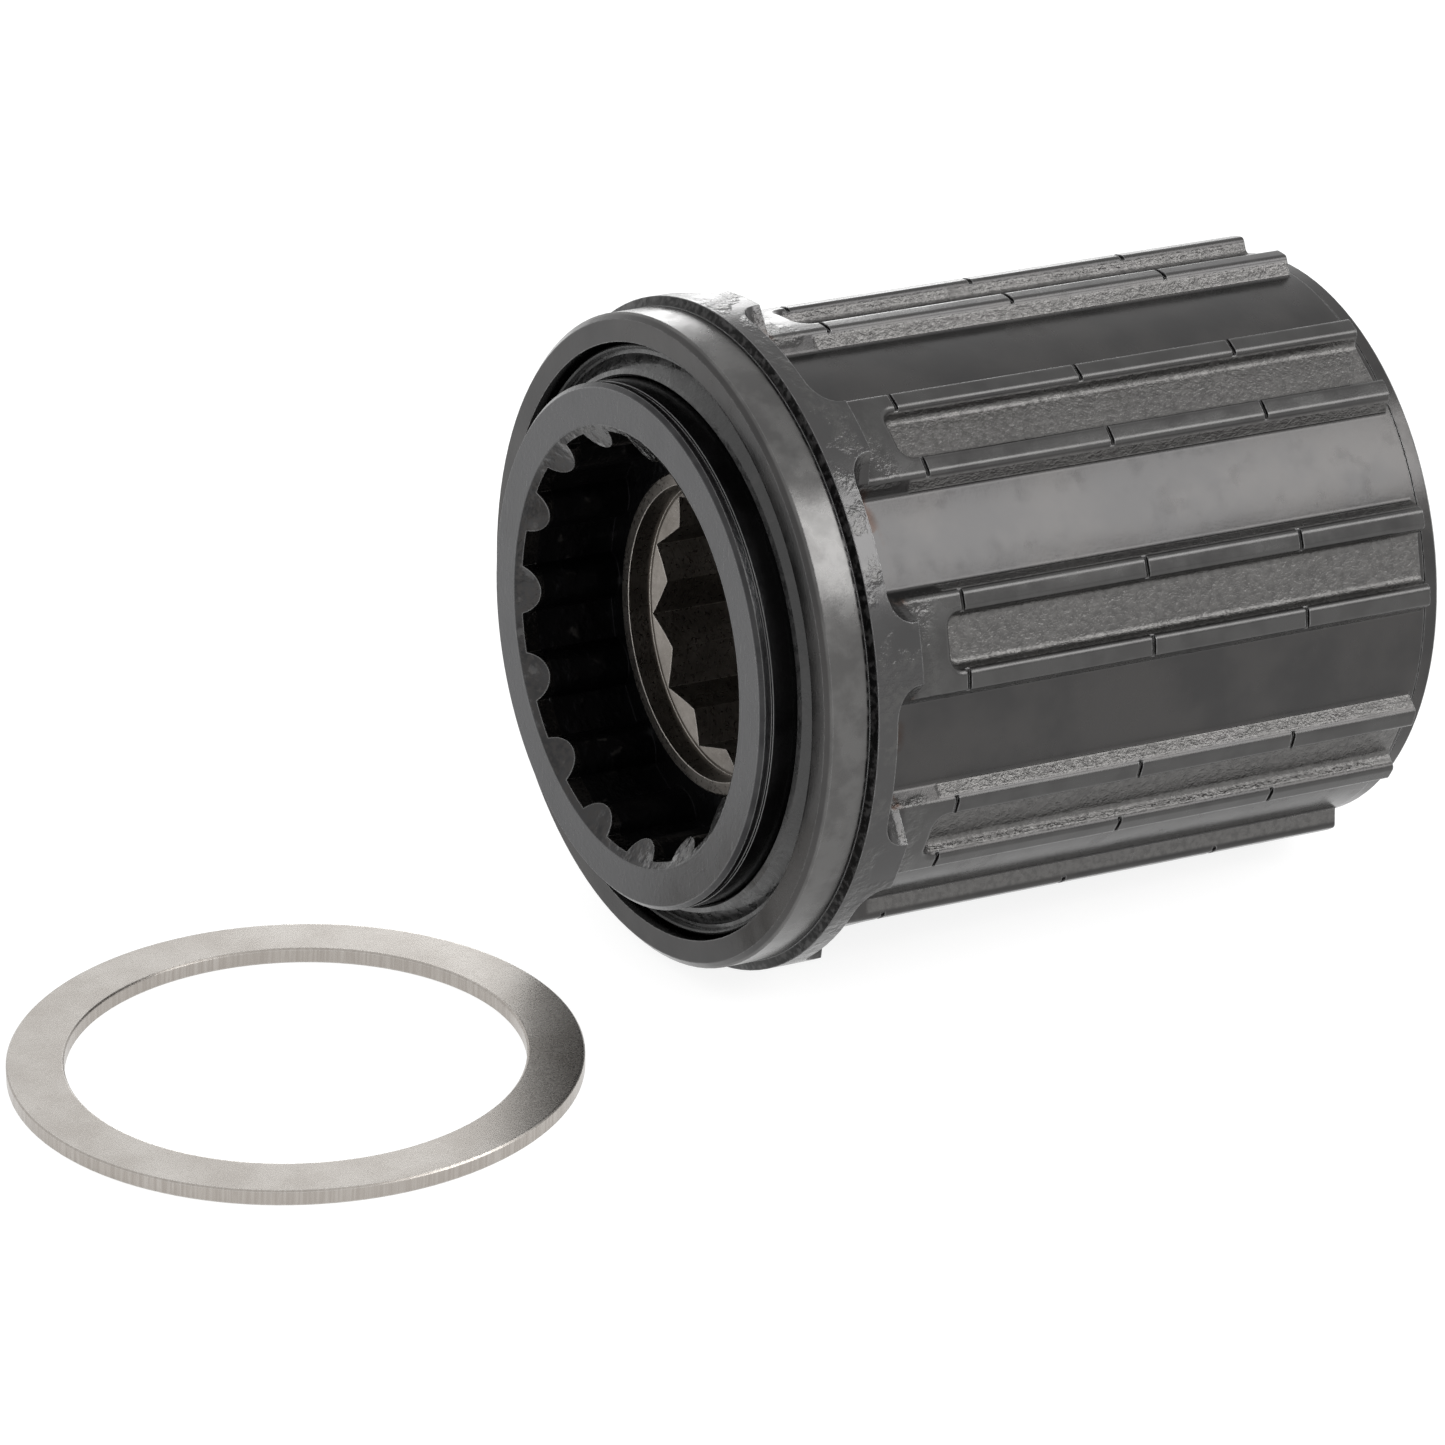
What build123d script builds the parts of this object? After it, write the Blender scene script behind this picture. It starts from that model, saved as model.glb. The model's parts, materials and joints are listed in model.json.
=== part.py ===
"""Cassette freehub body for a bicycle rear hub, with its loose hub washer.

Lengths are in millimetres and angles in degrees. The wheel axis is Y. The face that seats on the
hub is at Y = 0, the sprockets slide on from +Y, and Z points up when the freehub lies on its side.
Angles round the axis are measured from +X towards +Z.
"""
from build123d import *
import os
from math import acos, atan2, cos, degrees, radians, sin, tan

# Outer shell: stations along the axis
RIM_FRONT_Y = 1.96
RIM_STEP_Y = 4.60
FLANGE_Y = 4.83
VALLEY_Y = 6.03
STOP_Y = 7.70
SPLINE_END_Y = 41.58
END_RING_Y = 41.90
END_GROOVE_WIDTH = 0.12
END_GROOVE_DEPTH = 0.22
BODY_END_Y = 42.95

# Outer shell: radii
RIM_R = 18.22
FLANGE_R = 18.77
CREST_R = 17.30
ROOT_R = 16.25
END_RING_R = 16.14
EDGE_BREAK = 0.35

# Splines: nine positions, each a pair of thin ridges with a shallow channel between them
SPLINE_COUNT = 9
SPLINE_PITCH = 360 / SPLINE_COUNT
FIRST_SPLINE = 16.85
INDEX_SPLINE = 6
FOOT_HALF = 10.95
CREST_HALF = 8.95
RIDGE_WIDTH = 2.85
SIDE_LEAN = FOOT_HALF - CREST_HALF
FLARE_R = 19.60
FLARE_LEAN = 7.55
FOOT_FILLET = 0.30
VALLEY_FILLET = 1.45
CHANNEL_HALF = 1.66
CHANNEL_FLOOR_R = 16.35
CHANNEL_FLOOR_HALF = 1.30
CHANNEL_START_Y = 10.45
CHANNEL_CORNER = 0.75
CHANNEL_FLOOR_FILLET = 0.40
CREST_FILLET = 0.34
NOTCH_STATIONS = (11.47, 23.31, 33.38)
NOTCH_WIDTH = 0.26
NOTCH_R = 17.06

# Lockring thread in the outboard mouth
THREAD_MINOR_R = 14.77
THREAD_MAJOR_R = 15.30
THREAD_PITCH = 1.0
THREAD_TURNS = 6
THREAD_START_Y = 36.30
THREAD_RELIEF_Y = 33.60

# Bearings: two rows of loose 3/32 inch balls
BALL_R = 1.19
RACE_R = 1.25
INBOARD_ROW_Y = 8.90
INBOARD_ROW_R = 13.85
INBOARD_BALL_COUNT = 35
OUTBOARD_ROW_Y = 31.20
OUTBOARD_ROW_R = 13.40
OUTBOARD_BALL_COUNT = 34
INBOARD_BORE_R = INBOARD_ROW_R + RACE_R
OUTBOARD_BORE_R = OUTBOARD_ROW_R + RACE_R
SHELL_BORE_R = 12.95

# Ratchet: teeth inside the shell, three pawls in the core
TOOTH_COUNT = 24
TOOTH_PITCH = 360 / TOOTH_COUNT
TOOTH_TIP_R = 13.20
TOOTH_ROOT_R = 14.30
TOOTH_ROOT_FLAT = 4.5
TOOTH_TIP_FLAT = 0.6
TEETH_Y = 11.50
TEETH_END_Y = 17.90
BROACH_RELIEF = 0.55
BROACH_RELIEF_R = 14.40
PAWL_COUNT = 3
FIRST_PAWL = 90.0
PAWL_LENGTH = 6.60
PAWL_HEEL_R = 1.15
PAWL_PIVOT_R = 11.20
PAWL_FOLDED_R = 12.45
PAWL_RAISED_R = 13.90
PAWL_NOSE_HEIGHT = 1.15
PAWL_Y = 12.15
PAWL_END_Y = 17.45
PIVOT_CLEARANCE = 0.04
POCKET_SIDE_GAP = 0.12
POCKET_FLOOR = -1.15
POCKET_END = PAWL_LENGTH + 0.45
TOOTH_LEAD = 31.2
SPRING_THICKNESS = 0.16
SPRING_WIDTH = 3.60
SPRING_RISE = 0.12

# Core that bolts to the hub
CORE_R = 14.63
CORE_CHAMFER = 0.25
CORE_GROOVE_Y = 0.55
CORE_GROOVE_WIDTH = 0.18
CORE_GROOVE_DEPTH = 0.14
BARREL_R = 12.50
BARREL_END_Y = 29.00
SOCKET_R = 11.95
SOCKET_DEPTH = 6.00
SOCKET_MOUTH_R = 12.33
SOCKET_MOUTH_SLOPE = 1.5
RIDGE_COUNT = 15
RIDGE_R = 1.50
RIDGE_CENTRE_R = 12.45
FIRST_RIDGE = 17.6
BOLT_BORE_R = 9.25
BOLT_SEAT_Y = 18.60
HEAD_BORE_R = 10.30
CUP_THREAD_R = 11.30
CUP_THREAD_Y = 26.00

# Hollow fixing bolt with a twelve-point hole
BOLT_R = 9.15
BOLT_END_Y = 5.05
BOLT_MOUTH_R = 8.32
BOLT_MOUTH_DEPTH = 1.38
TOOL_CORNER_R = 8.12
TOOL_CORNER_ANGLE = 15
TOOL_LEAD_IN = 0.67
BOLT_HEAD_Y = 27.00
BOLT_HEAD_END_Y = 30.00
BOLT_HEAD_R = 10.00
BOLT_THREAD_DEPTH = 0.45
BOLT_THREAD_TURNS = 9
BOLT_WASHER_THICKNESS = 1.00

# Bearing cup, shims and dust cap
SHIM_THICKNESS = 0.20
SHIM_COUNT = 2
CUP_SHOULDER_Y = BARREL_END_Y + SHIM_COUNT * SHIM_THICKNESS
CUP_END_Y = 35.60
CUP_R = 14.30
CUP_NECK_R = 12.05
CUP_BOWL_R = 3.30
CUP_BOWL_CENTRE_R = 9.20
CUP_BOWL_Y = 34.40
CUP_FLOOR_Y = 30.30
AXLE_HOLE_R = 8.60
CUP_NOTCH_WIDTH = 3.20
CUP_NOTCH_DEPTH = 1.60
SEAL_GROOVE_R = 13.70
SEAL_GROOVE_Y = 32.45
SEAL_GROOVE_END_Y = 33.05
OUTER_SEAL_R = 14.60
CAP_Y = 34.50
CAP_END_Y = 35.20
CAP_HOLE_R = 9.00
CAP_LIP = 0.45

# Inboard seal
SEAL_RECESS_R = 16.62
SEAL_RECESS_Y = 5.30
SEAL_FRONT_Y = 2.65
SEAL_SHELL_R = 16.12
SEAL_LIP_R = 14.70
SEAL_LIP_Y = 2.15

# Loose hub washer, lying beside the freehub
WASHER_R = 15.71
WASHER_HOLE_R = 12.56
WASHER_THICKNESS = 0.91
WASHER_EDGE = 0.10
WASHER_X = 2.12
WASHER_Y = -20.59

# On a flat surface the freehub rests on its flange and on the two ridges that border the wide
# valley of the index spline, so the surface is tilted by REST_TILT against the wheel axis.
WIDE_VALLEY_HALF = SPLINE_PITCH / 2 - FOOT_HALF + (FOOT_HALF + CREST_HALF - RIDGE_WIDTH - SIDE_LEAN) / 2
REST_R = CREST_R * cos(radians(WIDE_VALLEY_HALF + SIDE_LEAN))
REST_TILT = degrees(atan2(FLANGE_R - REST_R, SPLINE_END_Y - VALLEY_Y))


def station(y):
    """Cross-section plane at Y = y. It faces the hub, so a negative amount extrudes outboard."""
    return Plane.XZ.offset(-y)


def polar(radius, angle):
    """Point of a cross-section at a radius and an angle."""
    return (radius * cos(radians(angle)), radius * sin(radians(angle)))


def thread_profile(start, turns, pitch, crest, root):
    """Profile of a thread drawn as rings, as (radius, y) points towards +Y."""
    points = []
    for turn in range(turns):
        middle = start + (turn + 0.5) * pitch
        points.append((crest, middle - 0.24 * pitch))
        points.append((root, middle - 0.05 * pitch))
        points.append((root, middle + 0.05 * pitch))
        points.append((crest, middle + 0.24 * pitch))
    return points


def triangle_angle(opposite, first, second):
    """Angle between two sides of a triangle, from its three side lengths."""
    return degrees(acos((first**2 + second**2 - opposite**2) / (2 * first * second)))


def pawl_plane(index, y):
    """Plane at Y = y through a pawl's pivot, with x from the heel to the folded nose."""
    pivot_angle = FIRST_PAWL + index * 360 / PAWL_COUNT
    across, up = polar(PAWL_PIVOT_R, pivot_angle)
    along, rise = polar(1, pivot_angle + 180 + triangle_angle(PAWL_FOLDED_R, PAWL_PIVOT_R, PAWL_LENGTH))
    return Plane(origin=(across, y, up), x_dir=(along, 0, rise), z_dir=(0, -1, 0))


def radius_of(shape):
    """Distance of a shape's middle from the wheel axis."""
    middle = shape.center()
    return (middle.X**2 + middle.Z**2) ** 0.5


def valley_cutter(centre, half_angle):
    """Solid that mills one valley between two splines, rounded where it meets the flange."""
    crest_half = half_angle + SIDE_LEAN
    flare_half = half_angle + FLARE_LEAN
    low_right = polar(ROOT_R, centre - half_angle)
    low_left = polar(ROOT_R, centre + half_angle)
    high_right = polar(FLARE_R, centre - flare_half)
    high_left = polar(FLARE_R, centre + flare_half)
    with BuildPart() as cutter:
        with BuildSketch(station(VALLEY_Y)):
            with BuildLine():
                ThreePointArc(low_right, polar(ROOT_R, centre), low_left)
                Polyline(low_left, polar(CREST_R, centre + crest_half), high_left)
                ThreePointArc(high_left, polar(FLARE_R, centre), high_right)
                Polyline(high_right, polar(CREST_R, centre - crest_half), low_right)
            make_face()
        extrude(amount=-(SPLINE_END_Y - VALLEY_Y + 5))
        feet = cutter.edges().filter_by(Axis.Y)
        fillet([edge for edge in feet if radius_of(edge) < ROOT_R + 0.1], FOOT_FILLET)
        ends = cutter.faces().sort_by(Axis.Y)[0].edges()
        fillet([edge for edge in ends if radius_of(edge) < FLARE_R - 0.4], VALLEY_FILLET)
    return cutter.part


def channel_cutter(angle):
    """Solid that mills the channel between the two ridges of a spline, with rounded corners."""
    slope = (CHANNEL_HALF - CHANNEL_FLOOR_HALF) / (CREST_R - CHANNEL_FLOOR_R)
    top_half = CHANNEL_HALF + slope * (FLARE_R - CREST_R)
    across, up = polar(1, angle)
    floor = Plane(origin=(0, CHANNEL_START_Y, 0), x_dir=(up, 0, -across), z_dir=(0, -1, 0))
    with BuildPart() as cutter:
        with BuildSketch(floor):
            with BuildLine():
                Polyline(
                    (-CHANNEL_FLOOR_HALF, CHANNEL_FLOOR_R),
                    (CHANNEL_FLOOR_HALF, CHANNEL_FLOOR_R),
                    (top_half, FLARE_R),
                    (-top_half, FLARE_R),
                    close=True,
                )
            make_face()
        extrude(amount=-(SPLINE_END_Y - CHANNEL_START_Y + 2))
        start = cutter.faces().sort_by(Axis.Y)[0]
        upright = [edge for edge in start.edges() if CHANNEL_FLOOR_R + 0.5 < radius_of(edge) < FLARE_R - 0.5]
        fillet(upright, CHANNEL_CORNER)
        bottom = cutter.faces().sort_by(lambda face: radius_of(face))[0]
        rim = [edge for edge in bottom.edges() if edge.center().Y < SPLINE_END_Y + 1]
        fillet(rim, CHANNEL_FLOOR_FILLET)
    return cutter.part


os.makedirs("parts", exist_ok=True)

# ---------------------------------------------------------------- outer shell
shell_outside = [
    (SEAL_RECESS_R, RIM_FRONT_Y),
    (RIM_R - EDGE_BREAK, RIM_FRONT_Y),
    (RIM_R, RIM_FRONT_Y + EDGE_BREAK),
    (RIM_R, RIM_STEP_Y),
    (FLANGE_R, FLANGE_Y),
    (FLANGE_R, STOP_Y),
    (CREST_R, STOP_Y),
    (CREST_R, SPLINE_END_Y),
    (ROOT_R, SPLINE_END_Y),
    (ROOT_R, END_RING_Y),
    (ROOT_R - END_GROOVE_DEPTH, END_RING_Y + 0.03),
    (ROOT_R - END_GROOVE_DEPTH, END_RING_Y + END_GROOVE_WIDTH),
    (END_RING_R, END_RING_Y + END_GROOVE_WIDTH + 0.03),
    (END_RING_R, BODY_END_Y - 0.15),
    (END_RING_R - 0.15, BODY_END_Y),
]
shell_thread = thread_profile(THREAD_START_Y, THREAD_TURNS, THREAD_PITCH, THREAD_MINOR_R, THREAD_MAJOR_R)
shell_inside = [
    (THREAD_MAJOR_R + 0.15, BODY_END_Y),
    (THREAD_MINOR_R, BODY_END_Y - 0.55),
    *reversed(shell_thread),
    (THREAD_MINOR_R, THREAD_START_Y),
    (THREAD_MAJOR_R + 0.05, THREAD_START_Y - 0.2),
    (THREAD_MAJOR_R + 0.05, THREAD_RELIEF_Y),
    (OUTBOARD_BORE_R, THREAD_RELIEF_Y - 0.4),
    (OUTBOARD_BORE_R, OUTBOARD_ROW_Y),
    (SHELL_BORE_R, OUTBOARD_ROW_Y),
    (SHELL_BORE_R, TEETH_END_Y + BROACH_RELIEF),
    (BROACH_RELIEF_R, TEETH_END_Y + BROACH_RELIEF),
    (BROACH_RELIEF_R, TEETH_END_Y),
    (TOOTH_TIP_R, TEETH_END_Y),
    (TOOTH_TIP_R, TEETH_Y),
    (BROACH_RELIEF_R, TEETH_Y),
    (BROACH_RELIEF_R, TEETH_Y - BROACH_RELIEF),
    (SHELL_BORE_R, TEETH_Y - BROACH_RELIEF),
    (SHELL_BORE_R, INBOARD_ROW_Y),
    (INBOARD_BORE_R, INBOARD_ROW_Y),
    (INBOARD_BORE_R, SEAL_RECESS_Y),
    (SEAL_RECESS_R, SEAL_RECESS_Y),
]
with BuildPart() as driver_body:
    with BuildSketch(Plane.XY):
        with BuildLine():
            Polyline(*shell_outside, *shell_inside, close=True)
        make_face()
    revolve(axis=Axis.Y)

    # Ball races in the two inner shoulders
    with BuildSketch(Plane.XY):
        with Locations((INBOARD_ROW_R, INBOARD_ROW_Y), (OUTBOARD_ROW_R, OUTBOARD_ROW_Y)):
            Circle(RACE_R)
    revolve(axis=Axis.Y, mode=Mode.SUBTRACT)

    # Ratchet teeth: a radial driving face, then a ramp down to the next tip
    with BuildSketch(station(TEETH_Y)):
        with BuildLine():
            outline = []
            for tooth in range(TOOTH_COUNT):
                face = FIRST_PAWL - TOOTH_LEAD + tooth * TOOTH_PITCH
                outline.append(polar(TOOTH_TIP_R, face))
                outline.append(polar(TOOTH_ROOT_R, face))
                outline.append(polar(TOOTH_ROOT_R, face + TOOTH_ROOT_FLAT))
                outline.append(polar(TOOTH_TIP_R, face + TOOTH_PITCH - TOOTH_TIP_FLAT))
            Polyline(*outline, close=True)
        make_face()
    extrude(amount=-(TEETH_END_Y - TEETH_Y), mode=Mode.SUBTRACT)

    # Valleys between the splines; the index spline has only one ridge, so its valley is wider
    wide_edge = FIRST_SPLINE + (INDEX_SPLINE + 1) * SPLINE_PITCH - FOOT_HALF
    valleys = [valley_cutter(wide_edge - WIDE_VALLEY_HALF, WIDE_VALLEY_HALF)]
    for spline in range(SPLINE_COUNT):
        if spline != INDEX_SPLINE:
            valley = FIRST_SPLINE + (spline + 0.5) * SPLINE_PITCH
            valleys.append(valley_cutter(valley, SPLINE_PITCH / 2 - FOOT_HALF))
    add(valleys, mode=Mode.SUBTRACT)

    # Channel along the middle of each pair of ridges, then the ridge crests rounded over
    channels = []
    for spline in range(SPLINE_COUNT):
        if spline != INDEX_SPLINE:
            channels.append(channel_cutter(FIRST_SPLINE + spline * SPLINE_PITCH))
    add(channels, mode=Mode.SUBTRACT)
    lengthwise = [edge for edge in driver_body.edges() if abs(radius_of(edge) - CREST_R) < 0.12]
    crests = [edge for edge in lengthwise if CHANNEL_START_Y - 0.3 < edge.center().Y < SPLINE_END_Y - 0.3]
    fillet(crests, CREST_FILLET)

    # Fine turned notches across the ridge crests
    with BuildSketch(Plane.XY):
        with Locations(*[((NOTCH_R + FLARE_R) / 2, notch) for notch in NOTCH_STATIONS]):
            Rectangle(FLARE_R - NOTCH_R, NOTCH_WIDTH)
    revolve(axis=Axis.Y, mode=Mode.SUBTRACT)
driver_body.part.label = "driver_body"
export_step(driver_body.part, "parts/driver_body.step")

# ---------------------------------------------------------------- core
core_outside = [
    (SOCKET_R - 1.3, 0),
    (CORE_R - CORE_CHAMFER, 0),
    (CORE_R, CORE_CHAMFER),
    (CORE_R, CORE_GROOVE_Y),
    (CORE_R - CORE_GROOVE_DEPTH, CORE_GROOVE_Y + 0.03),
    (CORE_R - CORE_GROOVE_DEPTH, CORE_GROOVE_Y + CORE_GROOVE_WIDTH),
    (CORE_R, CORE_GROOVE_Y + CORE_GROOVE_WIDTH + 0.03),
    (CORE_R, INBOARD_ROW_Y),
    (BARREL_R, INBOARD_ROW_Y),
    (BARREL_R, BARREL_END_Y - 0.3),
    (BARREL_R - 0.3, BARREL_END_Y),
]
core_inside = [
    (CUP_THREAD_R, BARREL_END_Y),
    (CUP_THREAD_R, CUP_THREAD_Y),
    (HEAD_BORE_R, CUP_THREAD_Y),
    (HEAD_BORE_R, BOLT_SEAT_Y),
    (BOLT_BORE_R, BOLT_SEAT_Y),
    (BOLT_BORE_R, SOCKET_DEPTH),
    (SOCKET_R - 1.3, SOCKET_DEPTH),
]
socket_mouth = [
    (0, -0.5),
    (SOCKET_MOUTH_R + 0.5 * SOCKET_MOUTH_SLOPE, -0.5),
    (SOCKET_MOUTH_R - 1.2 * SOCKET_MOUTH_SLOPE, 1.2),
    (0, 1.2),
]
with BuildPart() as inner_body:
    with BuildSketch(Plane.XY):
        with BuildLine():
            Polyline(*core_outside, *core_inside, close=True)
        make_face()
    revolve(axis=Axis.Y)

    # Inboard race
    with BuildSketch(Plane.XY):
        with Locations((INBOARD_ROW_R, INBOARD_ROW_Y)):
            Circle(RACE_R)
    revolve(axis=Axis.Y, mode=Mode.SUBTRACT)

    # Socket that takes the hub's splined end, with half-round ridges round its wall
    with BuildSketch(station(0)):
        Circle(SOCKET_R)
        with PolarLocations(RIDGE_CENTRE_R, RIDGE_COUNT, start_angle=FIRST_RIDGE):
            Circle(RIDGE_R, mode=Mode.SUBTRACT)
    extrude(amount=-SOCKET_DEPTH, mode=Mode.SUBTRACT)
    with BuildSketch(Plane.XY):
        with BuildLine():
            Polyline(*socket_mouth, close=True)
        make_face()
    revolve(axis=Axis.Y, mode=Mode.SUBTRACT)

    # Pawl pockets: a round seat for the heel that opens into a slot for the body of the pawl
    for pawl in range(PAWL_COUNT):
        with BuildSketch(pawl_plane(pawl, PAWL_Y - POCKET_SIDE_GAP)):
            Circle(PAWL_HEEL_R + PIVOT_CLEARANCE)
            with BuildLine():
                Polyline(
                    (-0.75, 2.2),
                    (POCKET_END, 2.2),
                    (POCKET_END, POCKET_FLOOR),
                    (0.9, POCKET_FLOOR),
                    (0.2, 0),
                    (-0.75, 0.5),
                    close=True,
                )
            make_face()
        extrude(amount=-(PAWL_END_Y - PAWL_Y + 2 * POCKET_SIDE_GAP), mode=Mode.SUBTRACT)
inner_body.part.label = "inner_body"
export_step(inner_body.part, "parts/inner_body.step")

# ---------------------------------------------------------------- pawls and their leaf springs
nose_lean = triangle_angle(PAWL_PIVOT_R, PAWL_LENGTH, PAWL_RAISED_R)
nose_drop = polar(PAWL_NOSE_HEIGHT, nose_lean)
nose_tip = (PAWL_LENGTH, 0)
nose_foot = (PAWL_LENGTH - nose_drop[0], -nose_drop[1])
spring_low = POCKET_FLOOR + 0.03
spring_high = spring_low + SPRING_THICKNESS
spring_strip = [
    (1.9, spring_low),
    (3.2, spring_low),
    (5.3, spring_low + SPRING_RISE),
    (5.3, spring_high + SPRING_RISE),
    (3.2, spring_high),
    (1.9, spring_high),
]
for number in range(PAWL_COUNT):
    with BuildPart() as pawl:
        with BuildSketch(pawl_plane(number, PAWL_Y)):
            Circle(PAWL_HEEL_R)
            with BuildLine():
                ThreePointArc((0.5, 1.03), (3.4, 0.62), nose_tip)
                Line(nose_tip, nose_foot)
                ThreePointArc(nose_foot, (3.4, -0.60), (0.88, -0.73))
                Line((0.88, -0.73), (0.5, 1.03))
            make_face()
        extrude(amount=-(PAWL_END_Y - PAWL_Y))
    pawl.part.label = f"pawl_{number + 1}"
    export_step(pawl.part, f"parts/pawl_{number + 1}.step")

    with BuildPart() as pawl_spring:
        with BuildSketch(pawl_plane(number, (PAWL_Y + PAWL_END_Y - SPRING_WIDTH) / 2)):
            with BuildLine():
                Polyline(*spring_strip, close=True)
            make_face()
        extrude(amount=-SPRING_WIDTH)
    pawl_spring.part.label = f"pawl_spring_{number + 1}"
    export_step(pawl_spring.part, f"parts/pawl_spring_{number + 1}.step")

# ---------------------------------------------------------------- loose balls of the two bearing rows
with BuildPart(station(INBOARD_ROW_Y)) as inboard_balls:
    with PolarLocations(INBOARD_ROW_R, INBOARD_BALL_COUNT):
        Sphere(BALL_R)
inboard_balls.part.label = "inboard_balls"
export_step(inboard_balls.part, "parts/inboard_balls.step")

with BuildPart(station(OUTBOARD_ROW_Y)) as outboard_balls:
    with PolarLocations(OUTBOARD_ROW_R, OUTBOARD_BALL_COUNT):
        Sphere(BALL_R)
outboard_balls.part.label = "outboard_balls"
export_step(outboard_balls.part, "parts/outboard_balls.step")

# ---------------------------------------------------------------- hollow fixing bolt
bolt_thread = thread_profile(BOLT_END_Y + 0.4, BOLT_THREAD_TURNS, 1.0, BOLT_R, BOLT_R - BOLT_THREAD_DEPTH)
bolt_outline = [
    (5, BOLT_END_Y),
    (BOLT_R - 0.15, BOLT_END_Y),
    (BOLT_R, BOLT_END_Y + 0.15),
    *bolt_thread,
    (BOLT_R, BOLT_HEAD_Y),
    (BOLT_HEAD_R, BOLT_HEAD_Y),
    (BOLT_HEAD_R, BOLT_HEAD_END_Y - 0.4),
    (BOLT_HEAD_R - 0.4, BOLT_HEAD_END_Y),
    (5, BOLT_HEAD_END_Y),
]
tool_start = BOLT_END_Y + BOLT_MOUTH_DEPTH
inner_corner_r = TOOL_CORNER_R * cos(radians(30)) / cos(radians(15))
mouth_cut = [
    (0, BOLT_END_Y - 1),
    (BOLT_MOUTH_R, BOLT_END_Y - 1),
    (BOLT_MOUTH_R, tool_start),
    (TOOL_CORNER_R, tool_start),
    (TOOL_CORNER_R - 1.73 * TOOL_LEAD_IN, tool_start + TOOL_LEAD_IN),
    (0, tool_start + TOOL_LEAD_IN),
]
head_cut = [
    (0, BOLT_HEAD_END_Y + 1),
    (TOOL_CORNER_R, BOLT_HEAD_END_Y + 1),
    (TOOL_CORNER_R, BOLT_HEAD_END_Y),
    (TOOL_CORNER_R - 1.73 * TOOL_LEAD_IN, BOLT_HEAD_END_Y - TOOL_LEAD_IN),
    (0, BOLT_HEAD_END_Y - TOOL_LEAD_IN),
]
with BuildPart() as fixing_bolt:
    with BuildSketch(Plane.XY):
        with BuildLine():
            Polyline(*bolt_outline, close=True)
        make_face()
    revolve(axis=Axis.Y)

    # Twelve-point hole right through, with a cone at each end to lead the tool in
    with BuildSketch(station(BOLT_END_Y)):
        with BuildLine():
            outline = []
            for corner in range(12):
                outline.append(polar(TOOL_CORNER_R, TOOL_CORNER_ANGLE + 30 * corner))
                outline.append(polar(inner_corner_r, TOOL_CORNER_ANGLE + 30 * corner + 15))
            Polyline(*outline, close=True)
        make_face()
    extrude(amount=-(BOLT_HEAD_END_Y - BOLT_END_Y), mode=Mode.SUBTRACT)
    with BuildSketch(Plane.XY):
        with BuildLine():
            Polyline(*mouth_cut, close=True)
        make_face()
    revolve(axis=Axis.Y, mode=Mode.SUBTRACT)
    with BuildSketch(Plane.XY):
        with BuildLine():
            Polyline(*head_cut, close=True)
        make_face()
    revolve(axis=Axis.Y, mode=Mode.SUBTRACT)
fixing_bolt.part.label = "fixing_bolt"
export_step(fixing_bolt.part, "parts/fixing_bolt.step")

with BuildPart() as fixing_bolt_washer:
    with BuildSketch(station(BOLT_HEAD_Y - BOLT_WASHER_THICKNESS)):
        Circle(BOLT_HEAD_R + 0.1)
        Circle(BOLT_BORE_R + 0.05, mode=Mode.SUBTRACT)
    extrude(amount=-BOLT_WASHER_THICKNESS)
fixing_bolt_washer.part.label = "fixing_bolt_washer"
export_step(fixing_bolt_washer.part, "parts/fixing_bolt_washer.step")

# ---------------------------------------------------------------- bearing cup
bowl_hole_y = CUP_BOWL_Y - (CUP_BOWL_R**2 - (CUP_BOWL_CENTRE_R - AXLE_HOLE_R) ** 2) ** 0.5
bowl_across, bowl_down = polar(CUP_BOWL_R, -45)
bowl_mouth_r = CUP_BOWL_CENTRE_R + CUP_BOWL_R
cup_below_bowl = [
    (AXLE_HOLE_R, bowl_hole_y),
    (AXLE_HOLE_R, CUP_FLOOR_Y),
    (HEAD_BORE_R, CUP_FLOOR_Y),
    (HEAD_BORE_R, CUP_THREAD_Y + 0.2),
    (CUP_THREAD_R, CUP_THREAD_Y + 0.2),
    (CUP_THREAD_R, CUP_SHOULDER_Y),
    (CUP_NECK_R, CUP_SHOULDER_Y),
    (CUP_NECK_R, OUTBOARD_ROW_Y),
    (CUP_R, OUTBOARD_ROW_Y),
    (CUP_R, SEAL_GROOVE_Y),
    (SEAL_GROOVE_R, SEAL_GROOVE_Y),
    (SEAL_GROOVE_R, SEAL_GROOVE_END_Y),
    (CUP_R, SEAL_GROOVE_END_Y),
    (CUP_R, CUP_END_Y - 0.3),
    (CUP_R - 0.3, CUP_END_Y),
    (bowl_mouth_r + 0.2, CUP_END_Y),
    (bowl_mouth_r, CUP_END_Y - 0.2),
    (bowl_mouth_r, CUP_BOWL_Y),
]
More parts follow.
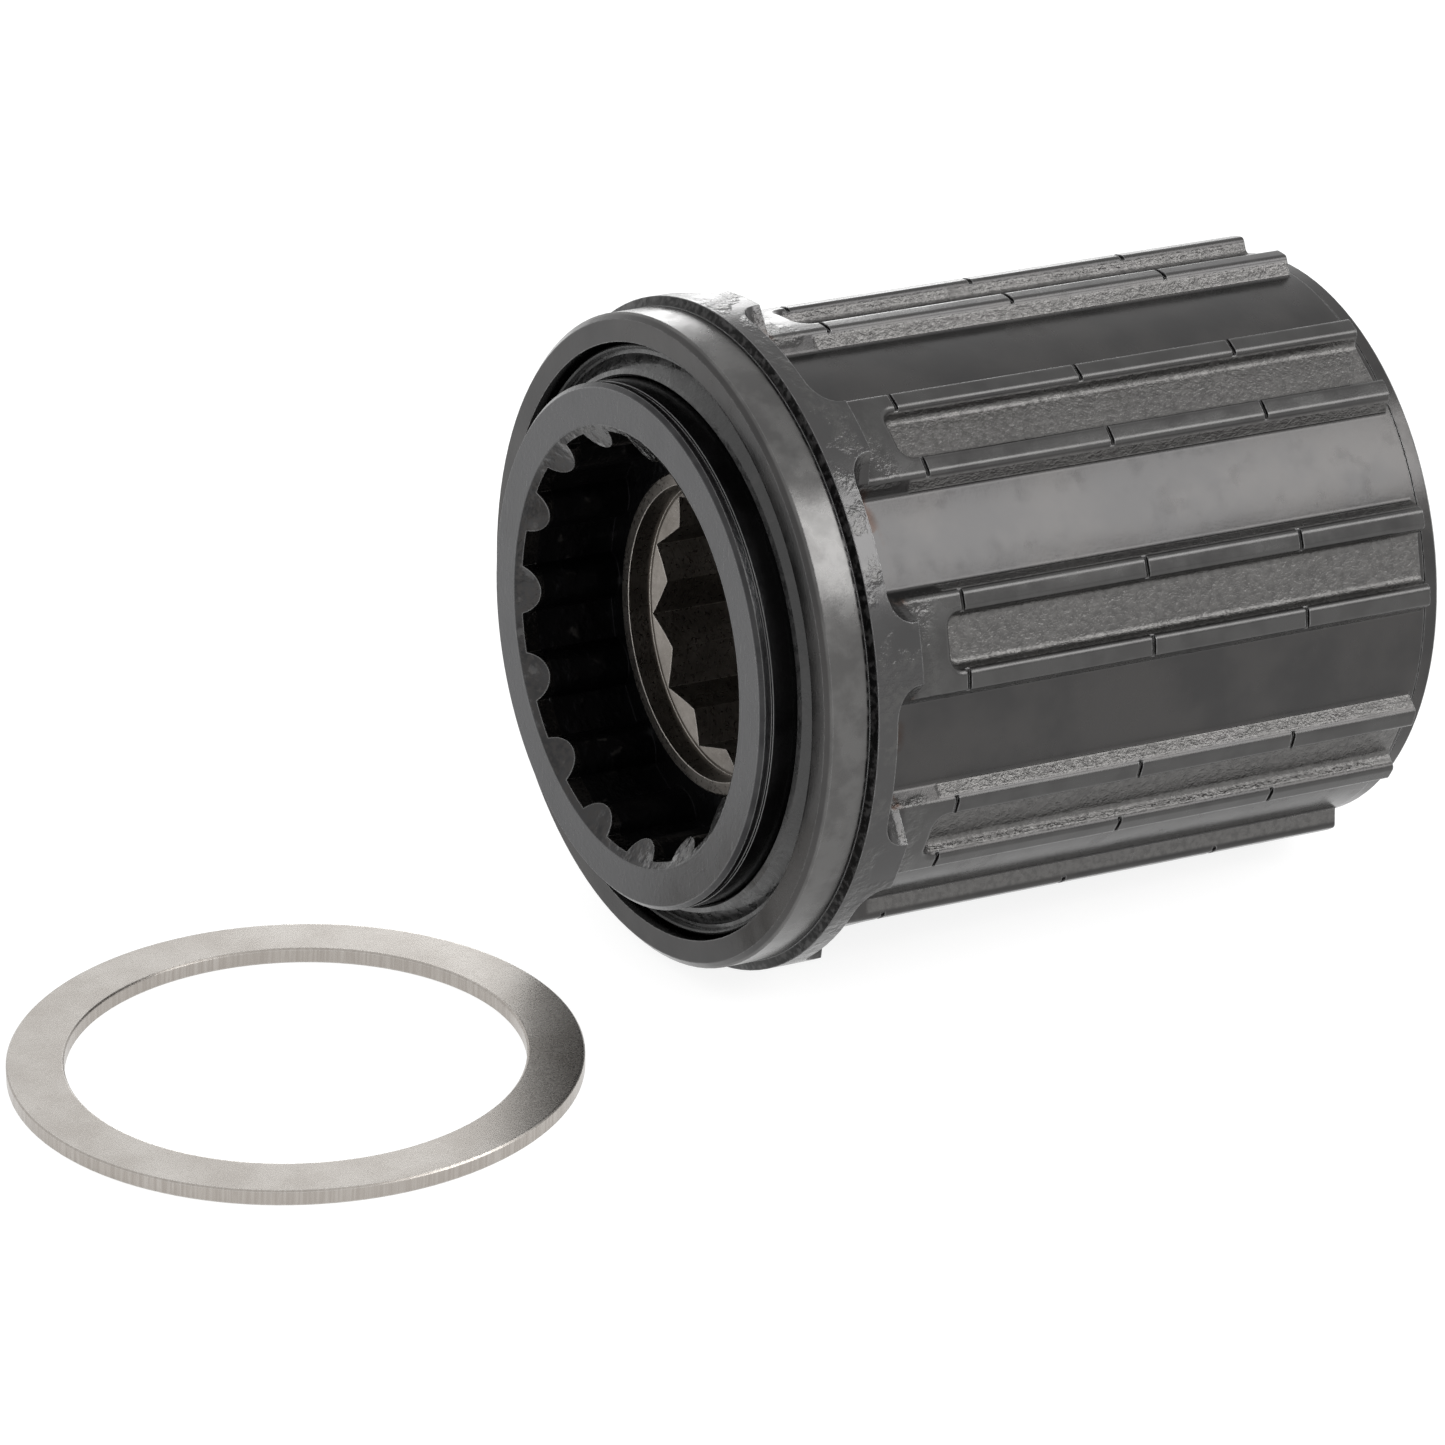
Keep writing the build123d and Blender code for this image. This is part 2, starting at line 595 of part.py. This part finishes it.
with BuildPart() as bearing_cup:
    with BuildSketch(Plane.XY):
        with BuildLine():
            Polyline(*cup_below_bowl)
            middle = (CUP_BOWL_CENTRE_R + bowl_across, CUP_BOWL_Y + bowl_down)
            ThreePointArc((bowl_mouth_r, CUP_BOWL_Y), middle, (AXLE_HOLE_R, bowl_hole_y))
        make_face()
    revolve(axis=Axis.Y)

    # Outboard race, then two notches in the rim for the cup tool
    with BuildSketch(Plane.XY):
        with Locations((OUTBOARD_ROW_R, OUTBOARD_ROW_Y)):
            Circle(RACE_R)
    revolve(axis=Axis.Y, mode=Mode.SUBTRACT)
    with BuildSketch(station(CUP_END_Y - CUP_NOTCH_DEPTH)):
        with PolarLocations((bowl_mouth_r + CUP_R) / 2, 2):
            Rectangle(CUP_R - bowl_mouth_r + 2, CUP_NOTCH_WIDTH)
        Circle(bowl_mouth_r, mode=Mode.SUBTRACT)
    extrude(amount=-CUP_NOTCH_DEPTH, mode=Mode.SUBTRACT)
bearing_cup.part.label = "bearing_cup"
export_step(bearing_cup.part, "parts/bearing_cup.step")

# ---------------------------------------------------------------- shims that set the bearing play
for number in range(SHIM_COUNT):
    with BuildPart() as preload_shim:
        with BuildSketch(station(BARREL_END_Y + number * SHIM_THICKNESS)):
            Circle(CUP_NECK_R)
            Circle(CUP_THREAD_R + 0.05, mode=Mode.SUBTRACT)
        extrude(amount=-SHIM_THICKNESS)
    preload_shim.part.label = f"preload_shim_{number + 1}"
    export_step(preload_shim.part, f"parts/preload_shim_{number + 1}.step")

# ---------------------------------------------------------------- dust cap pressed into the cup
cap_outline = [
    (CAP_HOLE_R, CAP_Y),
    (bowl_mouth_r, CAP_Y),
    (bowl_mouth_r, CAP_END_Y),
    (bowl_mouth_r - CAP_LIP, CAP_END_Y),
    (bowl_mouth_r - CAP_LIP, CAP_Y + CAP_LIP),
    (CAP_HOLE_R + CAP_LIP, CAP_Y + CAP_LIP),
    (CAP_HOLE_R + CAP_LIP, CAP_END_Y - 0.1),
    (CAP_HOLE_R, CAP_END_Y - 0.1),
]
with BuildPart() as dust_cap:
    with BuildSketch(Plane.XY):
        with BuildLine():
            Polyline(*cap_outline, close=True)
        make_face()
    revolve(axis=Axis.Y)
dust_cap.part.label = "dust_cap"
export_step(dust_cap.part, "parts/dust_cap.step")

# ---------------------------------------------------------------- seals
seal_outline = [
    (SEAL_LIP_R, SEAL_LIP_Y + 0.1),
    (SEAL_LIP_R + 0.12, SEAL_LIP_Y),
    (SEAL_LIP_R + 0.40, SEAL_LIP_Y + 0.1),
    (SEAL_SHELL_R - 0.25, SEAL_FRONT_Y + 0.25),
    (SEAL_SHELL_R, SEAL_FRONT_Y + 0.30),
    (SEAL_SHELL_R, SEAL_RECESS_Y - 0.4),
    (SEAL_LIP_R + 0.6, SEAL_RECESS_Y - 0.4),
    (SEAL_LIP_R + 0.5, SEAL_RECESS_Y - 1.4),
    (SEAL_LIP_R, SEAL_RECESS_Y - 1.9),
]
with BuildPart() as inboard_seal:
    with BuildSketch(Plane.XY):
        with BuildLine():
            Polyline(*seal_outline, close=True)
        make_face()
    revolve(axis=Axis.Y)
inboard_seal.part.label = "inboard_seal"
export_step(inboard_seal.part, "parts/inboard_seal.step")

case_edge = (SEAL_RECESS_R - SEAL_SHELL_R) / 3
case_outline = [
    (SEAL_SHELL_R, SEAL_RECESS_Y - 0.4),
    (SEAL_SHELL_R, SEAL_FRONT_Y + case_edge),
    (SEAL_SHELL_R + 0.4 * case_edge, SEAL_FRONT_Y + 0.3 * case_edge),
    (SEAL_SHELL_R + case_edge, SEAL_FRONT_Y),
    (SEAL_SHELL_R + 1.6 * case_edge, SEAL_FRONT_Y + 0.3 * case_edge),
    (SEAL_SHELL_R + 2 * case_edge, SEAL_FRONT_Y + case_edge),
    (SEAL_SHELL_R + 2 * case_edge, SEAL_FRONT_Y + 0.8),
    (SEAL_RECESS_R, SEAL_FRONT_Y + 1.0),
    (SEAL_RECESS_R, SEAL_RECESS_Y),
    (INBOARD_BORE_R + 0.1, SEAL_RECESS_Y),
    (INBOARD_BORE_R + 0.1, SEAL_RECESS_Y - 0.4),
]
with BuildPart() as inboard_seal_case:
    with BuildSketch(Plane.XY):
        with BuildLine():
            Polyline(*case_outline, close=True)
        make_face()
    revolve(axis=Axis.Y)
inboard_seal_case.part.label = "inboard_seal_case"
export_step(inboard_seal_case.part, "parts/inboard_seal_case.step")

with BuildPart() as outboard_seal:
    with BuildSketch(station(SEAL_GROOVE_Y + 0.05)):
        Circle(OUTER_SEAL_R)
        Circle(SEAL_GROOVE_R + 0.05, mode=Mode.SUBTRACT)
    extrude(amount=-(SEAL_GROOVE_END_Y - SEAL_GROOVE_Y - 0.1))
    fillet(outboard_seal.edges(), 0.15)
outboard_seal.part.label = "outboard_seal"
export_step(outboard_seal.part, "parts/outboard_seal.step")

# ---------------------------------------------------------------- loose hub washer on the surface
floor_z = (WASHER_Y - VALLEY_Y) * tan(radians(REST_TILT)) - FLANGE_R
floor_up = (0, -sin(radians(REST_TILT)), cos(radians(REST_TILT)))
washer_seat = Plane(origin=(WASHER_X, WASHER_Y, floor_z), x_dir=(1, 0, 0), z_dir=floor_up)
with BuildPart() as hub_washer:
    with BuildSketch(washer_seat):
        Circle(WASHER_R)
        Circle(WASHER_HOLE_R, mode=Mode.SUBTRACT)
    extrude(amount=WASHER_THICKNESS)
    chamfer(hub_washer.edges().filter_by(GeomType.CIRCLE), WASHER_EDGE)
hub_washer.part.label = "hub_washer"
export_step(hub_washer.part, "parts/hub_washer.step")
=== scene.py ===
"""Looks, lights and camera for the cassette freehub body and its loose hub washer."""
import json
from math import pi, radians

import bpy
from mathutils import Euler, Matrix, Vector


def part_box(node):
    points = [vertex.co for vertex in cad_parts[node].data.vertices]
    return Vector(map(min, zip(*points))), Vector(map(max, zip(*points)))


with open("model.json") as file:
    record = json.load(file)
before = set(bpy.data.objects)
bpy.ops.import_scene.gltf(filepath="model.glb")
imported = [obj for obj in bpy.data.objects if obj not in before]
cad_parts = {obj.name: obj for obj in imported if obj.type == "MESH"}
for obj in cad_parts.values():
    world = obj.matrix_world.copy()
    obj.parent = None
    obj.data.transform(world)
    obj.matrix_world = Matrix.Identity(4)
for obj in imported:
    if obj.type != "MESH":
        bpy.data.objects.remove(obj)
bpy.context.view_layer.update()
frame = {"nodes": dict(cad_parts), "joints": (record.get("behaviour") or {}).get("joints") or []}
nodes = frame["nodes"]

MM = 0.001
washer_joint = next(joint for joint in frame["joints"] if joint["name"] == "washer_lift")
FLOOR_UP = Vector(washer_joint["axis"])
FLOOR_GAP = 0.02
WASHER_MIDDLE = (2.12, -20.59)
WASHER_THICKNESS = 0.91

# Zones of the shell in millimetres: stations along the axis and radii
RIM_BAND = (2.1, 4.5)
STEP_BAND = (4.42, 4.90)
STEP_RADII = (18.12, 18.74)
FINGER_BAND = (4.9, 9.6)
VALLEY_END_BAND = (6.0, 7.9)
VALLEY_END_RADII = (16.2, 17.5)


# ------------------------------------------------------------------ shader helpers
class Wire:
    """A value on its way between shader nodes, with arithmetic."""

    def __init__(self, finish, socket):
        self.finish = finish
        self.socket = socket

    def math(self, operation, *others):
        """A maths node with this value as its first input."""
        node = self.finish.node("ShaderNodeMath", operation=operation)
        for slot, value in zip(node.inputs, (self, *others)):
            self.finish.feed(slot, value)
        return Wire(self.finish, node.outputs[0])

    def __add__(self, other):
        return self.math("ADD", other)

    def __sub__(self, other):
        return self.math("SUBTRACT", other)

    def __mul__(self, other):
        return self.math("MULTIPLY", other)

    def __rsub__(self, other):
        node = self.finish.node("ShaderNodeMath", operation="SUBTRACT")
        node.inputs[0].default_value = other
        self.finish.feed(node.inputs[1], self)
        return Wire(self.finish, node.outputs[0])

    def ramp(self, low, high, start=0.0, end=1.0):
        """Smooth step from start to end while the value goes from low to high."""
        node = self.finish.node("ShaderNodeMapRange", interpolation_type="SMOOTHSTEP")
        for slot, value in zip(node.inputs, (self, low, high, start, end)):
            self.finish.feed(slot, value)
        return Wire(self.finish, node.outputs[0])

    def band(self, low, high, soft=0.08):
        """One between low and high, zero outside, with soft edges."""
        return self.ramp(low - soft, low + soft) * self.ramp(high - soft, high + soft, 1.0, 0.0)


class Finish:
    """A node material that knows where it is on the freehub, in millimetres."""

    def __init__(self, name):
        self.material = bpy.data.materials.new(name)
        self.material.use_nodes = True
        self.tree = self.material.node_tree
        self.shader = self.tree.nodes["Principled BSDF"]
        coords = self.node("ShaderNodeTexCoord")
        scale = self.node("ShaderNodeVectorMath", operation="SCALE")
        self.tree.links.new(coords.outputs["Object"], scale.inputs[0])
        scale.inputs["Scale"].default_value = 1000
        self.place = Wire(self, scale.outputs[0])
        split = self.node("ShaderNodeSeparateXYZ")
        self.feed(split.inputs[0], self.place)
        self.x, self.y, self.z = (Wire(self, s) for s in split.outputs)
        self.r = (self.x * self.x + self.z * self.z).math("SQRT")

    def node(self, kind, **settings):
        """Adds a shader node."""
        node = self.tree.nodes.new(kind)
        for key, value in settings.items():
            setattr(node, key, value)
        return node

    def feed(self, slot, value):
        """Links a wire to a socket, or writes a constant into it."""
        if isinstance(value, Wire):
            self.tree.links.new(value.socket, slot)
        else:
            slot.default_value = value

    def noise(self, scale, detail, stretch=(1, 1, 1), offset=0.0):
        """Soft random pattern; scale is in features to the millimetre."""
        mapping = self.node("ShaderNodeMapping")
        self.feed(mapping.inputs[0], self.place)
        mapping.inputs["Scale"].default_value = stretch
        mapping.inputs["Location"].default_value = (offset, offset, offset)
        node = self.node("ShaderNodeTexNoise")
        self.feed(node.inputs["Vector"], Wire(self, mapping.outputs[0]))
        node.inputs["Scale"].default_value = scale
        node.inputs["Detail"].default_value = detail
        node.inputs["Roughness"].default_value = 0.55
        return Wire(self, node.outputs[0])

    def turned(self, lines):
        """Fine lathe lines: rings on a face and hoops on a cylinder."""
        node = self.node("ShaderNodeTexNoise", noise_dimensions="1D")
        self.feed(node.inputs["W"], (self.r + self.y) * lines)
        node.inputs["Scale"].default_value = 1.0
        node.inputs["Detail"].default_value = 4.0
        return Wire(self, node.outputs[0])

    def edges(self, width):
        """One on edges sharper than the given width in millimetres, zero on open faces."""
        bevel = self.node("ShaderNodeBevel", samples=6)
        bevel.inputs["Radius"].default_value = width * MM
        shape = self.node("ShaderNodeNewGeometry")
        dot = self.node("ShaderNodeVectorMath", operation="DOT_PRODUCT")
        self.tree.links.new(bevel.outputs[0], dot.inputs[0])
        self.tree.links.new(shape.outputs["Normal"], dot.inputs[1])
        return Wire(self, dot.outputs["Value"]).ramp(0.985, 0.80)

    def colour(self, first, second, share):
        """Mixes two colours; share is how much of the second one shows."""
        mix = self.node("ShaderNodeMix", data_type="RGBA")
        self.feed(mix.inputs["Factor"], share)
        for slot, value in ((mix.inputs["A"], first), (mix.inputs["B"], second)):
            self.feed(slot, value if isinstance(value, Wire) else (*value, 1.0))
        return Wire(self, mix.outputs["Result"])

    def bump(self, height, distance, strength, rounded=0.0):
        """Surface relief from a height wire, over edges rounded by a radius, both in millimetres."""
        node = self.node("ShaderNodeBump")
        node.inputs["Strength"].default_value = strength
        node.inputs["Distance"].default_value = distance * MM
        self.feed(node.inputs["Height"], height)
        if rounded:
            bevel = self.node("ShaderNodeBevel", samples=4)
            bevel.inputs["Radius"].default_value = rounded * MM
            self.tree.links.new(bevel.outputs[0], node.inputs["Normal"])
        self.tree.links.new(node.outputs[0], self.shader.inputs["Normal"])

    def set(self, **values):
        """Sets the shader's inputs, such as base_color or roughness."""
        for key, value in values.items():
            self.feed(self.shader.inputs[key.replace("_", " ").title()], value)


def wear(node, finish):
    """Puts a finish on one of the CAD nodes."""
    mesh = nodes[node].data
    mesh.materials.clear()
    mesh.materials.append(finish.material)


# ------------------------------------------------------------------ outer shell
def shell_finish():
    """Black oxide on steel, with a turned rim and pitted channels, painted highlights on its edges
    and crests, and painted shade in the step behind the rim.
    """
    f = Finish("black_coated_steel")
    cloud = f.noise(0.20, 4)
    patch = f.noise(0.55, 5, offset=11)
    speck = f.noise(2.6, 4)
    grain = f.noise(7.0, 3, offset=7)
    wave = f.noise(0.13, 2, offset=2)
    lines = f.turned(9)
    edge = f.edges(0.13)
    rim = f.r.ramp(18.05, 18.15) * f.y.band(*RIM_BAND, 0.12)
    flange = f.r.ramp(18.35, 18.6)
    channel = f.r.ramp(16.30, 16.34) * f.r.ramp(16.9, 17.1, 1.0, 0.0) * f.y.ramp(10.3, 10.6)
    crest_highlight = f.r.ramp(17.10, 17.27) * f.y.ramp(8.0, 8.4)
    step_shade = f.y.band(*STEP_BAND, 0.06) * f.r.band(*STEP_RADII, 0.03)
    worn = f.y.band(*FINGER_BAND, 0.5) * f.r.ramp(16.6, 17.0) * patch.ramp(0.42, 0.60)
    # paler on the turned rim, the flange, the channels and the worn spots on the fingers, with a
    # painted highlight on the crests and painted shade, drawn black, in the step
    base = f.colour((0.049, 0.048, 0.048), (0.061, 0.059, 0.058), cloud.ramp(0.35, 0.65))
    base = f.colour(base, (0.118, 0.116, 0.114), rim * patch.ramp(0.35, 0.6, 0.55, 1.0))
    base = f.colour(base, (0.072, 0.071, 0.071), flange)
    base = f.colour(base, (0.120, 0.117, 0.114), channel * speck.ramp(0.36, 0.60, 0.60, 1.0))
    # painted highlight: the crests of the ridges drawn paler
    base = f.colour(base, (0.078, 0.077, 0.076), crest_highlight * patch.ramp(0.35, 0.60, 0.45, 0.9))
    base = f.colour(base, (0.085, 0.084, 0.082), worn * speck.ramp(0.40, 0.60))
    # painted shade: the step behind the rim drawn nearly black
    base = f.colour(base, (0.006, 0.006, 0.006), step_shade * speck.ramp(0.35, 0.55, 0.45, 1.0))
    # brown stain in the corners where the valleys meet the flange
    corner = f.r.band(*VALLEY_END_RADII, 0.3) * f.y.band(*VALLEY_END_BAND, 0.3)
    base = f.colour(base, (0.040, 0.020, 0.012), corner * patch.ramp(0.46, 0.60) * 0.9)
    # painted highlight along the sharp edges, pale like bare metal
    base = f.colour(base, (0.30, 0.30, 0.30), edge * speck.ramp(0.35, 0.6, 0.35, 1.0) * 0.75)
    f.set(base_color=base, metallic=0.95)
    rough = cloud.ramp(0.3, 0.7, 0.17, 0.26) + channel * 0.03 + rim * 0.04
    f.set(roughness=rough + patch.ramp(0.5, 0.7, 0.0, 0.08))
    relief = (speck * 2.6 + grain * 2.0) * channel + (speck * 2.6 + grain) * worn + wave * 5.0
    relief = relief + speck * 0.22 + grain * 0.14 + lines * 0.12
    f.bump(relief, 0.022, 0.9, rounded=0.12)
    return f


# ------------------------------------------------------------------ core
def core_finish():
    """Turned black steel with a scratched seat face and a greased socket."""
    f = Finish("greased_black_steel")
    cloud = f.noise(0.35, 4)
    speck = f.noise(3.2, 4)
    blobs = f.noise(0.9, 3, offset=5)
    lines = f.turned(9)
    edge = f.edges(0.13)
    face = f.y.ramp(0.02, 0.06, 1.0, 0.0) * f.r.ramp(12.3, 12.4)
    mouth = f.y.band(0.03, 1.15, 0.05) * f.r.ramp(12.4, 12.5, 1.0, 0.0)
    inside = f.r.ramp(12.4, 12.5, 1.0, 0.0) * f.y.ramp(1.05, 1.25)
    base = f.colour((0.030, 0.030, 0.031), (0.045, 0.045, 0.046), cloud.ramp(0.4, 0.6))
    scratch = f.noise(1.0, 2, stretch=(9.0, 1.0, 0.5), offset=4).ramp(0.66, 0.70)
    base = f.colour(base, (0.080, 0.080, 0.082), face * cloud.ramp(0.3, 0.6, 0.85, 1.0))
    base = f.colour(base, (0.130, 0.130, 0.130), face * scratch * 0.6)
    base = f.colour(base, (0.046, 0.044, 0.043), mouth * speck.ramp(0.40, 0.60, 0.10, 1.0))
    base = f.colour(base, (0.012, 0.012, 0.013), inside)
    # painted highlight on the edges, kept off the inside of the socket
    base = f.colour(base, (0.34, 0.34, 0.34), edge * (1.0 - inside) * 0.75)
    f.set(base_color=base, metallic=0.95)
    f.set(roughness=cloud.ramp(0.3, 0.7, 0.18, 0.25) + face * 0.05 + inside * 0.16)
    grease = blobs.ramp(0.40, 0.80) * (inside + mouth) * 5.0
    f.bump(lines * 0.25 + speck * 0.9 + scratch * face * 0.8 + grease, 0.016, 0.9, rounded=0.10)
    f.set(coat_weight=blobs.ramp(0.58, 0.66) * (inside + mouth) * 0.7, coat_roughness=0.10)
    return f


# ------------------------------------------------------------------ other pieces
def steel_finish(name, dark, light, rough, edge_highlight=(0.6, 0.6, 0.6)):
    """Turned bare steel between two tones, with a painted highlight on its edges."""
    f = Finish(name)
    cloud = f.noise(0.5, 4)
    speck = f.noise(5.0, 3)
    turned = f.turned(8)
    edge = f.edges(0.10)
    base = f.colour(dark, light, cloud.ramp(0.35, 0.65) * 0.7 + turned.ramp(0.3, 0.7) * 0.3)
    # painted highlight on the edges
    base = f.colour(base, edge_highlight, edge * 0.8)
    f.set(base_color=base, metallic=1.0)
    f.set(roughness=speck.ramp(0.3, 0.7, rough - 0.04, rough + 0.08))
    f.bump(turned * 0.6 + speck * 0.3, 0.010, 0.8, rounded=0.08)
    return f


def rubber_finish():
    """Black seal rubber with grease on it."""
    f = Finish("seal_rubber")
    cloud = f.noise(1.1, 5)
    speck = f.noise(6.0, 3)
    base = f.colour((0.004, 0.004, 0.004), (0.018, 0.017, 0.017), cloud.ramp(0.50, 0.68))
    f.set(base_color=base, metallic=0.0)
    f.set(roughness=cloud.ramp(0.35, 0.65, 0.16, 0.42))
    f.bump(cloud * 1.8 + speck * 0.4, 0.06, 0.9)
    f.set(coat_weight=0.4, coat_roughness=0.10)
    return f


def washer_finish():
    """Warm satin steel."""
    f = Finish("washer_steel")
    cloud = f.noise(0.25, 4)
    speck = f.noise(3.0, 5)
    grain = f.noise(8.0, 3)
    edge = f.edges(0.12)
    # the two round walls are ground across the thickness
    across, along = f.x - WASHER_MIDDLE[0], f.y - WASHER_MIDDLE[1]
    reach = (across * across + along * along).math("SQRT")
    wall = reach.ramp(15.60, 15.66) + reach.ramp(12.62, 12.68, 1.0, 0.0)
    ground = f.noise(1.0, 3, stretch=(5.0, 5.0, 0.15))
    base = f.colour((0.42, 0.392, 0.362), (0.505, 0.480, 0.450), cloud.ramp(0.30, 0.70))
    base = f.colour(base, (0.36, 0.335, 0.305), speck.ramp(0.54, 0.72) * 0.35)
    base = f.colour(base, (0.34, 0.312, 0.285), wall * ground.ramp(0.35, 0.65, 0.45, 1.0))
    # painted highlight on the edges, half as strong on the ground walls
    base = f.colour(base, (0.95, 0.93, 0.90), edge * (1.0 - wall * 0.5) * 0.9)
    f.set(base_color=base, metallic=1.0)
    f.set(roughness=grain.ramp(0.3, 0.7, 0.25, 0.31))
    f.bump(speck * 0.4 + grain * 0.2 + ground * wall, 0.003, 0.8, rounded=0.12)
    return f


# colours of the painted highlights on the edges of the bolt and the seal case
BOLT_EDGE_HIGHLIGHT = (0.9, 0.86, 0.80)
CASE_EDGE_HIGHLIGHT = (0.16, 0.16, 0.16)
hard = steel_finish("hardened_steel", (0.30, 0.30, 0.31), (0.42, 0.42, 0.43), 0.26)
spring = steel_finish("spring_steel", (0.20, 0.22, 0.27), (0.34, 0.36, 0.40), 0.28)
balls = steel_finish("bearing_steel", (0.62, 0.62, 0.63), (0.72, 0.72, 0.73), 0.10)
case = steel_finish("seal_case_steel", (0.022, 0.022, 0.022), (0.05, 0.05, 0.05), 0.24, CASE_EDGE_HIGHLIGHT)
bolt = steel_finish("bolt_steel", (0.17, 0.155, 0.14), (0.27, 0.25, 0.23), 0.30, BOLT_EDGE_HIGHLIGHT)
finishes = {
    "driver_body": shell_finish(),
    "inner_body": core_finish(),
    "fixing_bolt": bolt,
    "hub_washer": washer_finish(),
    "inboard_seal": rubber_finish(),
    "inboard_seal_case": case,
    "dust_cap": steel_finish("cap_metal", (0.10, 0.10, 0.105), (0.16, 0.16, 0.165), 0.32),
    "inboard_balls": balls,
    "outboard_balls": balls,
    "bearing_cup": hard,
    "fixing_bolt_washer": hard,
    "preload_shim_1": spring,
    "preload_shim_2": spring,
}
finishes["outboard_seal"] = finishes["inboard_seal"]
for number in (1, 2, 3):
    finishes[f"pawl_{number}"] = hard
    finishes[f"pawl_spring_{number}"] = spring
for name, finish in finishes.items():
    wear(name, finish)


# ------------------------------------------------------------------ floor, world and lights
washer_low, washer_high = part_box("hub_washer")
centre = (washer_low + washer_high) / 2
floor_point = centre - FLOOR_UP * (WASHER_THICKNESS / 2 + FLOOR_GAP) * MM
bpy.ops.mesh.primitive_plane_add(size=12, location=floor_point)
floor = bpy.context.object
floor.name = "floor"
floor.rotation_mode = "QUATERNION"
floor.rotation_quaternion = FLOOR_UP.to_track_quat("Z", "Y")
paper = bpy.data.materials.new("floor_paper")
paper.use_nodes = True
paper_shader = paper.node_tree.nodes["Principled BSDF"]
paper_shader.inputs["Base Color"].default_value = (0.28, 0.28, 0.28, 1)
paper_shader.inputs["Roughness"].default_value = 0.9
paper_shader.inputs["Specular IOR Level"].default_value = 0.0
paper_shader.inputs["Emission Color"].default_value = (1, 1, 1, 1)
paper_shader.inputs["Emission Strength"].default_value = 0.86
floor.data.materials.append(paper)

world = bpy.data.worlds.new("studio")
world.use_nodes = True
world.node_tree.nodes["Background"].inputs[0].default_value = (1, 1, 1, 1)
world.node_tree.nodes["Background"].inputs[1].default_value = 1.0
bpy.context.scene.world = world
bpy.context.scene.view_settings.view_transform = "Standard"


def soft_box(name, direction, distance, size, radiance):
    """A rectangular area light in a direction from the freehub, with an even radiance."""
    light = bpy.data.lights.new(name, "AREA")
    light.shape = "RECTANGLE"
    light.size, light.size_y = size
    light.energy = radiance * size[0] * size[1] * pi
    lamp = bpy.data.objects.new(name, light)
    way = Vector(direction).normalized()
    lamp.location = Vector((0, 0.02, 0)) + way * distance
    lamp.rotation_mode = "QUATERNION"
    lamp.rotation_quaternion = way.to_track_quat("Z", "Y")
    bpy.context.scene.collection.objects.link(lamp)


soft_box("key_softbox", (0.60, 0.48, 0.64), 0.9, (0.62, 0.42), 4.4)
soft_box("rim_softbox", (-0.87, 0.47, 0.10), 1.0, (0.14, 0.60), 3.6)

# ------------------------------------------------------------------ camera
lens = bpy.data.cameras.new("camera")
lens.lens = 212.98
lens.sensor_width = 36.0
lens.clip_start, lens.clip_end = 0.01, 50
camera = bpy.data.objects.new("camera", lens)
camera.location = (0.36938, -0.222154, 0.181996)
camera.rotation_euler = Euler((radians(66.6086), radians(-3.1435), radians(59.5898)), "XYZ")
bpy.context.scene.collection.objects.link(camera)
bpy.context.scene.camera = camera
